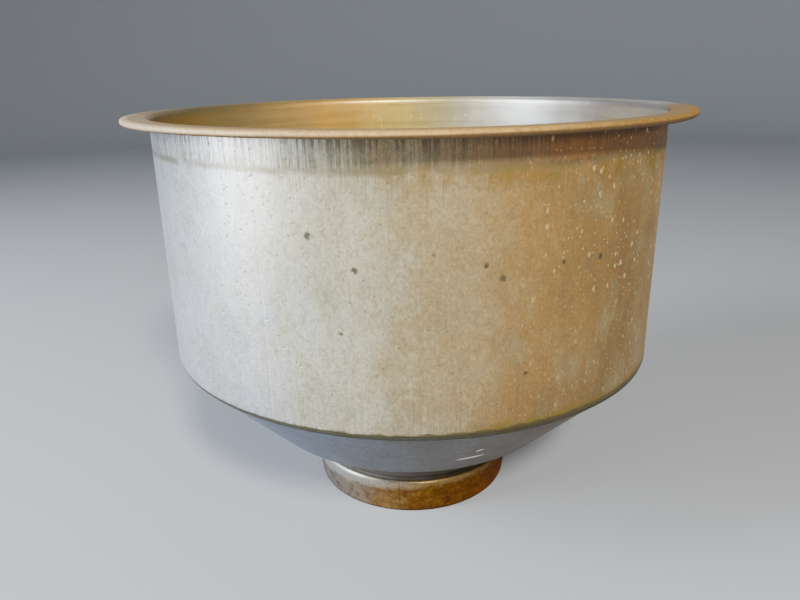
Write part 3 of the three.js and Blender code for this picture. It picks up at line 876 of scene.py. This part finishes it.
# %% Finish of the solder
def solder_finish():
    f = Finish("solder")
    lumps = f.noise((180, 180, 180), 4.0, 3.0)
    rust = (f.noise((60, 60, 60), 4.0, 1.0) + f.side * 0.12).rise(0.42, 0.62)
    colour = f.mix(lumps, rgb(0.075, 0.068, 0.058), rgb(0.16, 0.15, 0.13))
    colour = f.mix(rust * 0.7, colour, rgb(0.08, 0.058, 0.016))
    crease = f.z.rise(0.28 * HEIGHT, 0.32 * HEIGHT)
    colour = f.mix(crease * 0.75, colour, rgb(0.036, 0.034, 0.016))
    plain = {"Specular IOR Level": 0.2}
    return f.done(colour, 0.65 + rust * 0.2, 0.3 - rust * 0.2, lumps * 0.25 * MM, **plain)


# %% [markdown]
# ## Strainer set
# The plates and dome have been scoured and kept dry, so their tin is brighter, with swirls from
# scouring and a few rust spots.

# %% Finish of the plates and the dome
def strainer_finish():
    f = Finish("strainer_tin")
    swirls = f.noise((260, 260, 260), 2.0, 2.0, 0.4)
    fine = f.hairs((300, 300, 300), 0.03, 7.0)
    clouds = f.noise((45, 45, 45), 4.0, 5.0)
    colour = f.mix(clouds, rgb(0.50, 0.50, 0.49), rgb(0.66, 0.65, 0.62))
    colour = f.mix(clouds.rise(0.55, 0.75) * 0.5, colour, rgb(0.48, 0.41, 0.28))
    colour = f.mix(fine * 0.15, colour, rgb(0.85, 0.85, 0.84))
    spots = f.spots(6 * MM, 0.9 * MM, 0.2, 2.0, 0.6, flat=False)
    colour = f.mix(spots * 0.7, colour, rgb(0.20, 0.13, 0.06))
    roughness = 0.30 + clouds * 0.16 + (swirls - 0.5) * 0.1
    return f.done(colour, roughness, 0.92 - spots * 0.4, (swirls * 0.02 - spots * 0.05) * MM)


# %% [markdown]
# The wires and rivets are drawn steel, bright under patches of tarnish. The filter disc is
# pressed cotton: matt, with short crossing fibres and a faint stain.

# %% Finishes of the wire and the cotton
def wire_finish():
    f = Finish("spring_wire")
    marks = f.noise((500, 500, 500), 3.0, 1.0)
    tarnish = f.noise((80, 80, 80), 4.0, 3.0).rise(0.45, 0.7)
    colour = f.mix(marks, rgb(0.42, 0.42, 0.42), rgb(0.60, 0.59, 0.57))
    colour = f.mix(tarnish * 0.5, colour, rgb(0.28, 0.21, 0.13))
    return f.done(colour, 0.30 + tarnish * 0.25, 0.95 - tarnish * 0.3, marks * 0.02 * MM)


def cotton_finish():
    f = Finish("cotton")
    fibres = f.hairs((420, 420, 420), 0.05, 1.0).most(f.hairs((700, 260, 500), 0.05, 5.0))
    lumps = f.noise((160, 160, 160), 5.0, 2.0)
    stain = f.noise((35, 35, 35), 3.0, 4.0).rise(0.55, 0.75)
    colour = f.mix(lumps, rgb(0.74, 0.71, 0.63), rgb(0.86, 0.84, 0.78))
    colour = f.mix(stain * 0.35, colour, rgb(0.66, 0.57, 0.40))
    colour = f.mix(fibres * 0.4, colour, rgb(0.92, 0.91, 0.87))
    return f.done(colour, 0.95, 0.0, (lumps * 0.25 + fibres * 0.1) * MM)


# %% [markdown]
# Each finish is made once, under the name of its slot. A piece then gets its finish, its slot and
# the body that it moves with in one step.

# %% Make the finishes
FINISHES = {
    "wall_tin": wall_finish(),
    "cone_tin": cone_finish(),
    "collar_steel": collar_finish(),
    "solder": solder_finish(),
    "strainer_tin": strainer_finish(),
    "spring_wire": wire_finish(),
    "cotton": cotton_finish(),
}


def fit(piece, body, slot):
    """Gives a piece its finish and the body that it rides on."""
    piece.data.materials.clear()
    piece.data.materials.append(FINISHES[slot])
    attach(piece, body)
    return piece


# %% [markdown]
# ## The bowl and its collar
# Eight soldered pieces make up the funnel itself. Each is turned from its own outline.

# %% Bowl, neck and collar
BOWL_PIECES = {
    "bowl_wall": "wall_tin",
    "rim_wire": "collar_steel",
    "bowl_cone": "cone_tin",
    "crease_solder": "solder",
    "outlet_neck": "cone_tin",
    "neck_solder": "solder",
    "collar": "collar_steel",
    "collar_solder": "solder",
}
for node, slot in BOWL_PIECES.items():
    fit(turned(f"{node}_fine", node), "bowl", slot)


# %% [markdown]
# ## Perforated plates
# Each plate is a flat disc with rows of small punched holes inside a turned-up lip. Cutting
# hundreds of holes with booleans is slow, so the flat part is laid out as a plan: a triangulation
# that keeps every hole's edge, with the triangles inside the holes left out.

# %% Lay out the holes
SHEET = 0.8 * MM
HOLE_PITCH = 5.2 * MM
HOLE_RADIUS = 1.2 * MM
HOLE_SIDES = 10
PLATE_TURNS = 180
LIP_BAND = 5 * MM


def hole_centres(limit, keep_out):
    """Hexagonal rows of holes inside a radius, clear of the places in keep_out."""
    row_pitch = HOLE_PITCH * math.sqrt(3) / 2
    rows = int(limit / row_pitch)
    centres = []
    for row in range(-rows, rows + 1):
        for column in range(-rows - 2, rows + 3):
            spot = Vector(((column + 0.5 * (row % 2)) * HOLE_PITCH, row * row_pitch))
            clear = all((spot - place).length > size for place, size in keep_out)
            if spot.length < limit and clear:
                centres.append(spot)
    return centres


def holed_plan(flat, centres):
    """Corners and triangles of a flat disc with its holes left out."""
    circles = [(Vector((0, 0)), flat, PLATE_TURNS)]
    circles += [(centre, HOLE_RADIUS, HOLE_SIDES) for centre in centres]
    points, edges, hole_of = [], [], {}
    for number, (centre, radius, sides) in enumerate(circles):
        first = len(points)
        for k in range(sides):
            angle = 2 * math.pi * (k + 0.5) / sides
            points.append(centre + Vector((math.cos(angle), math.sin(angle))) * radius)
            edges.append((first + k, first + (k + 1) % sides))
            if number:
                hole_of[first + k] = number
    plan = geometry.delaunay_2d_cdt(points, edges, [], 1, 1e-7)
    corners, triangles, origin = plan[0], plan[2], plan[3]
    kept = []
    for triangle in triangles:
        owners = {hole_of.get(origin[i][0]) if origin[i] else None for i in triangle}
        if len(owners) > 1 or None in owners:
            kept.append(tuple(triangle))
    return corners, kept


print(len(hole_centres(30 * MM, ())), "holes would fit within 30 mm of the middle")

# %% [markdown]
# The plan is then copied down by the sheet's thickness, and the edges that only one triangle
# uses, which are the rim and the holes, are joined by walls. The lip is turned as a ring and laid
# over the plate's edge.

# %% Make a perforated plate
def thick_plate(corners, kept, bottom):
    """Vertices and faces of a plan with the sheet's thickness."""
    count = len(corners)
    vertices = [Vector((p.x, p.y, z)) for z in (bottom + SHEET, bottom) for p in corners]
    faces = kept + [tuple(i + count for i in reversed(t)) for t in kept]
    used = defaultdict(int)
    for triangle in kept:
        for a, b in zip(triangle, triangle[1:] + triangle[:1]):
            used[(a, b)] += 1
    faces += [(b, a, a + count, b + count) for a, b in used if (b, a) not in used]
    return vertices, faces


def lip_outline(low, high, flat):
    """The section of a plate's turned-up lip, with the bead inside it."""
    outer, top = high.x, low.z + SHEET
    return [
        Vector(p)
        for p in (
            (flat - 0.4 * MM, low.z),
            (outer - 0.6 * MM, low.z),
            (outer, low.z + 0.6 * MM),
            (outer, high.z - 0.3 * MM),
            (outer - 0.3 * MM, high.z),
            (outer - SHEET, high.z - 0.2 * MM),
            (outer - SHEET, top + 0.5 * MM),
            (outer - SHEET - 0.5 * MM, top),
            (flat + 2.2 * MM, top),
            (flat + 1.2 * MM, top + 0.35 * MM),
            (flat + 0.2 * MM, top),
            (flat - 0.4 * MM, top),
        )
    ]


def perforated(node, keep_out=()):
    """A perforated plate in the place of a coarse one, which it replaces."""
    low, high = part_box(node)
    flat = high.x - LIP_BAND
    centres = hole_centres(flat - HOLE_RADIUS * 2, keep_out)
    sheet = thick_plate(*holed_plan(flat, centres), low.z)
    piece = make_mesh(f"{node}_fine", *sheet, sharp=30)
    lip = turned_mesh(softened(lip_outline(low, high, flat), True), True, PLATE_TURNS)
    ring = make_mesh(f"{node}_lip", *lip)
    join = bmesh.new()
    join.from_mesh(piece.data)
    join.from_mesh(ring.data)
    join.to_mesh(piece.data)
    join.free()
    bpy.data.objects.remove(ring)
    piece.data.shade_smooth()
    piece.data.set_sharp_from_angle(angle=math.radians(35))
    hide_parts(node)
    print(f"{node}: {len(centres)} holes")
    return piece


# %% [markdown]
# The upper plate has no holes where the dome's three legs stand. Their places are read from the
# frame.

# %% The two plates
LEGS = [n for n in sorted(frame["nodes"]) if n.startswith("dome_leg")]
FOOT_RIVETS = [n for n in sorted(frame["nodes"]) if n.startswith("foot_rivet")]
DOME_RIVETS = [n for n in sorted(frame["nodes"]) if n.startswith("dome_rivet")]


def middle(node):
    low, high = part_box(node)
    return (low + high) / 2


FOOT_CLEARANCE = 8 * MM
feet = [(middle(n).to_2d(), FOOT_CLEARANCE) for n in FOOT_RIVETS]
fit(perforated("lower_plate"), "lower_plate", "strainer_tin")
fit(perforated("upper_plate", feet), "upper_plate", "strainer_tin")

# %% [markdown]
# ## Cotton filter disc
# A filter disc is loose cotton pressed flat, thin and hard at its sealed edge and slightly
# quilted inside. It isn't stuffed, so it is shaped directly: a disc whose top and bottom rise and
# fall with a small pattern of dimples.

# %% Filter disc
PAD_RINGS = 56
PAD_TURNS = 200
SEALED_BAND = 7 * MM
DIMPLE = 2.2 * MM


def filter_disc():
    low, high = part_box("filter_pad")
    centre, half = (low.z + high.z) / 2, (high.z - low.z) / 2
    edge = high.x
    outline = [Vector((edge * k / PAD_RINGS, -1)) for k in range(PAD_RINGS + 1)]
    outline += [Vector((edge * k / PAD_RINGS, 1)) for k in range(PAD_RINGS, -1, -1)]
    vertices, faces = turned_mesh(outline, False, PAD_TURNS)
    shaped = []
    for v in vertices:
        radius = math.hypot(v.x, v.y)
        seal = min(1.0, (edge - radius) / SEALED_BAND)
        thick = 0.35 + 0.5 * math.sin(seal * math.pi / 2)
        dimple = 0.5 + 0.5 * math.cos(v.x / DIMPLE) * math.cos(v.y / DIMPLE)
        fluff = noise.noise(Vector((v.x, v.y, v.z)) * 220)
        level = half * min(0.98, thick + 0.12 * dimple * seal + 0.08 * fluff * seal)
        frayed = 1 + 0.004 * noise.noise(Vector((v.x, v.y, 0)) * 300) * (radius > edge * 0.97)
        shaped.append(Vector((v.x * frayed * 0.995, v.y * frayed * 0.995, centre + v.z * level)))
    piece = make_mesh("filter_disc", shaped, faces, sharp=80)
    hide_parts("filter_pad")
    return piece


disc = fit(filter_disc(), "filter_pad", "cotton")
print("filter disc", [round(x / MM, 1) for x in disc.dimensions])


# %% [markdown]
# ## Splash dome, legs and staple
# The dome is turned from its outline. The legs and the staple are bent strips that already have
# their true shape, so they keep it and only get rounded edges.

# %% Dome, legs and staple
EDGE_ROUNDING = 0.22 * MM

fit(turned("splash_dome_fine", "splash_dome", turns=200, worn=False), "upper_plate", "strainer_tin")

for node in LEGS + ["lift_staple"]:
    strap = frame["nodes"][node]
    weld = strap.modifiers.new("weld", "WELD")
    weld.merge_threshold = 1e-5
    bevel = strap.modifiers.new("soft_edges", "BEVEL")
    bevel.width = EDGE_ROUNDING
    bevel.segments = 3
    bevel.limit_method = "ANGLE"
    bevel.angle_limit = math.radians(40)
    strap.data.materials.clear()
    strap.data.materials.append(FINISHES["strainer_tin"])
print("rounded the edges of", ", ".join(LEGS + ["lift_staple"]))

# %% [markdown]
# ## Rivets
# The rivets are set again with round heads, square to the sheet that they hold: upright in the
# plate, and along the dome's radius in the dome.

# %% Rivets
RIVET_HEAD = 2.6 * MM
RIVET_HEIGHT = 1.3 * MM
RIVET_SHANK = 1.2 * MM
RIVET_TURNS = 28


def rivet(node, direction):
    """A round-headed rivet at a node's place, with its head towards direction."""
    low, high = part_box(node)
    angles = (math.pi / 2 * k / 7 for k in range(8))
    arc = [Vector((RIVET_HEAD * math.cos(a), RIVET_HEIGHT * math.sin(a))) for a in angles]
    depth = (high - low).length * 0.45
    outline = [Vector((0, -depth)), Vector((RIVET_SHANK, -depth)), Vector((RIVET_SHANK, 0))] + arc
    vertices, faces = turned_mesh(outline, False, RIVET_TURNS)
    turn = Vector((0, 0, 1)).rotation_difference(direction).to_matrix()
    halfway = Vector((0, 0, (RIVET_HEIGHT - depth) / 2))
    placed = [turn @ (v - halfway) + middle(node) for v in vertices]
    piece = make_mesh(f"{node}_fine", placed, faces, sharp=50)
    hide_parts(node)
    return fit(piece, "upper_plate", "spring_wire")


dome_low, dome_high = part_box("splash_dome")
dome_rise = dome_high.z - dome_low.z
dome_sphere = (dome_high.x**2 + dome_rise**2) / (2 * dome_rise)
dome_centre = Vector((0, 0, dome_high.z - dome_sphere))
for node in FOOT_RIVETS:
    rivet(node, Vector((0, 0, 1)))
for node in DOME_RIVETS:
    rivet(node, (middle(node) - dome_centre).normalized())
print(len(FOOT_RIVETS + DOME_RIVETS), "rivets")

# %% [markdown]
# ## Clamp ring
# The clamp ring is an open ring of spring wire whose ends rise and curl back into two loops for
# finger and thumb. The loops lean inward, clear of the neck.

# %% Clamp ring
CLAMP_WIRE = 1.75 * MM
LOOP = 8 * MM
LOOP_TURN = math.radians(290)
LOOP_LEAN = 0.35
LOOP_SPACING = 26 * MM


def clamp_path():
    low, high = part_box("clamp_ring")
    radius = high.x - CLAMP_WIRE
    height = low.z + CLAMP_WIRE
    half_gap = LOOP_SPACING / 2 / radius
    start, stop = -math.pi / 2 + half_gap, 1.5 * math.pi - half_gap

    def loop(angle, sign, turned_by):
        """A point of a finger loop that starts at an angle round the ring."""
        along = sign * LOOP * math.sin(turned_by)
        rise = LOOP * (1 - math.cos(turned_by))
        out = radius - LOOP_LEAN * rise
        across = Vector((-math.sin(angle), math.cos(angle), 0)) * along
        return Vector((math.cos(angle) * out, math.sin(angle) * out, height + rise)) + across

    steps = 30
    path = [loop(start, -1, LOOP_TURN * (1 - k / steps)) for k in range(steps)]
    arc_steps = 150
    for k in range(arc_steps + 1):
        angle = start + (stop - start) * k / arc_steps
        path.append(Vector((radius * math.cos(angle), radius * math.sin(angle), height)))
    path += [loop(stop, 1, LOOP_TURN * (k + 1) / steps) for k in range(steps)]
    return path


clamp = wire("clamp_ring_fine", clamp_path(), CLAMP_WIRE)
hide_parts("clamp_ring")
fit(clamp, "clamp_ring", "spring_wire")

# %% [markdown]
# ## Lift ring
# The lift ring is a D of thinner wire. Its bar lies under the staple, and the butt joint of its
# ends is hidden there. Its place comes from the joint that it swings on.

# %% Lift ring
LIFT_WIRE = 1.25 * MM
LIFT_RING = 9 * MM
LIFT_STRAIGHT = 11 * MM
LIFT_CORNER = 3 * MM
LIFT_DROOP = math.radians(8)


def lift_path():
    hinge = next(j for j in frame["joints"] if j["name"] == "lift_ring_turn")
    plan = [Vector((0.3 * MM, 0, 0))]
    for k in range(9):
        angle = -math.pi / 2 + math.pi / 2 * k / 8
        bend = Vector((math.cos(angle), 1 + math.sin(angle), 0)) * LIFT_CORNER
        plan.append(Vector((LIFT_RING - LIFT_CORNER, 0, 0)) + bend)
    for k in range(25):
        angle = math.pi * k / 24
        arc = Vector((math.cos(angle), math.sin(angle), 0)) * LIFT_RING
        plan.append(Vector((0, LIFT_STRAIGHT, 0)) + arc)
    plan += [Vector((-p.x, p.y, 0)) for p in reversed(plan[:10])]
    lean = Quaternion((1, 0, 0), -LIFT_DROOP)
    return [lean @ p + Vector(hinge["pos_m"]) for p in plan]


lift = wire("lift_ring_fine", lift_path(), LIFT_WIRE, 14)
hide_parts("lift_ring")
fit(lift, "lift_ring", "spring_wire")

# %% [markdown]
# ## Floor
# The funnel stands on a plain pale floor that curves up far away into a wall, so no hard horizon
# shows. The floor is staging and not a piece of the funnel.

# %% Floor
FLOOR_REACH = 4.0
FLOOR_BEND = 1.5
STUDIO_HEIGHT = 2.5


def studio_floor():
    flat = FLOOR_REACH - FLOOR_BEND
    outline = [Vector((0, 0)), Vector((0.5, 0)), Vector((flat, 0))]
    for k in range(1, 13):
        angle = math.pi / 2 * k / 12
        rise = Vector((math.sin(angle), 1 - math.cos(angle))) * FLOOR_BEND
        outline.append(Vector((flat, 0)) + rise)
    outline.append(Vector((FLOOR_REACH, STUDIO_HEIGHT)))
    floor = make_mesh("floor", *turned_mesh(outline, False, 96), sharp=80)
    pale = bpy.data.materials.new("floor_paper")
    pale.use_nodes = True
    shader = pale.node_tree.nodes["Principled BSDF"]
    shader.inputs["Base Color"].default_value = rgb(0.40, 0.42, 0.45)
    shader.inputs["Roughness"].default_value = 0.9
    floor.data.materials.append(pale)
    floor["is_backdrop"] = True


studio_floor()
print("floor", FLOOR_REACH, "m to its wall")


# %% [markdown]
# ## Light
# A tall cool light stands at the left like a window, and a weak warm one at the right like a
# room. A small lamp high in front draws the rim's shadow on the wall. All three are soft and aim
# at the middle of the bowl.

# %% Lights
def softbox(name, place, width, height, power, colour):
    """A soft rectangular light that aims at the bowl."""
    light = bpy.data.lights.new(name, "AREA")
    light.shape = "RECTANGLE"
    light.size = width
    light.size_y = height
    light.energy = power
    light.color = colour
    lamp = bpy.data.objects.new(name, light)
    bpy.context.scene.collection.objects.link(lamp)
    lamp.location = place
    lamp.rotation_euler = (BOWL_MIDDLE - Vector(place)).to_track_quat("-Z", "Y").to_euler()
    print(f"{name}: {power} W from {[round(x, 2) for x in place]}")


BOWL_MIDDLE = Vector((0, 0, 0.17))
LAMP_WAY = Vector((0.19, -0.76, 0.62))
softbox("window", (-1.46, -0.50, 0.62), 0.55, 1.3, 72, (0.86, 0.92, 1.0))
softbox("room", (1.6, -0.9, 0.5), 1.2, 0.8, 4, (1.0, 0.78, 0.52))
softbox("lamp", BOWL_MIDDLE + LAMP_WAY * 2.0, 0.3, 0.3, 64, (1.0, 0.96, 0.90))

world = bpy.data.worlds.new("studio")
bpy.context.scene.world = world
world.use_nodes = True
sky = world.node_tree.nodes["Background"].inputs
sky["Color"].default_value = rgb(0.80, 0.86, 0.95)
sky["Strength"].default_value = 0.16

# %% [markdown]
# ## The size of the pieces
# The fine pieces have to fill the same box as the design. Both boxes are written out, so that
# they can be compared.

# %% Print the boxes
shown_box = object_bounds()
boxes = {"cad": [list(p) for p in cad_box], "visual": [list(p) for p in shown_box]}
for name, corners in boxes.items():
    print(name, "box in mm:", [[round(x / MM, 1) for x in corner] for corner in corners])
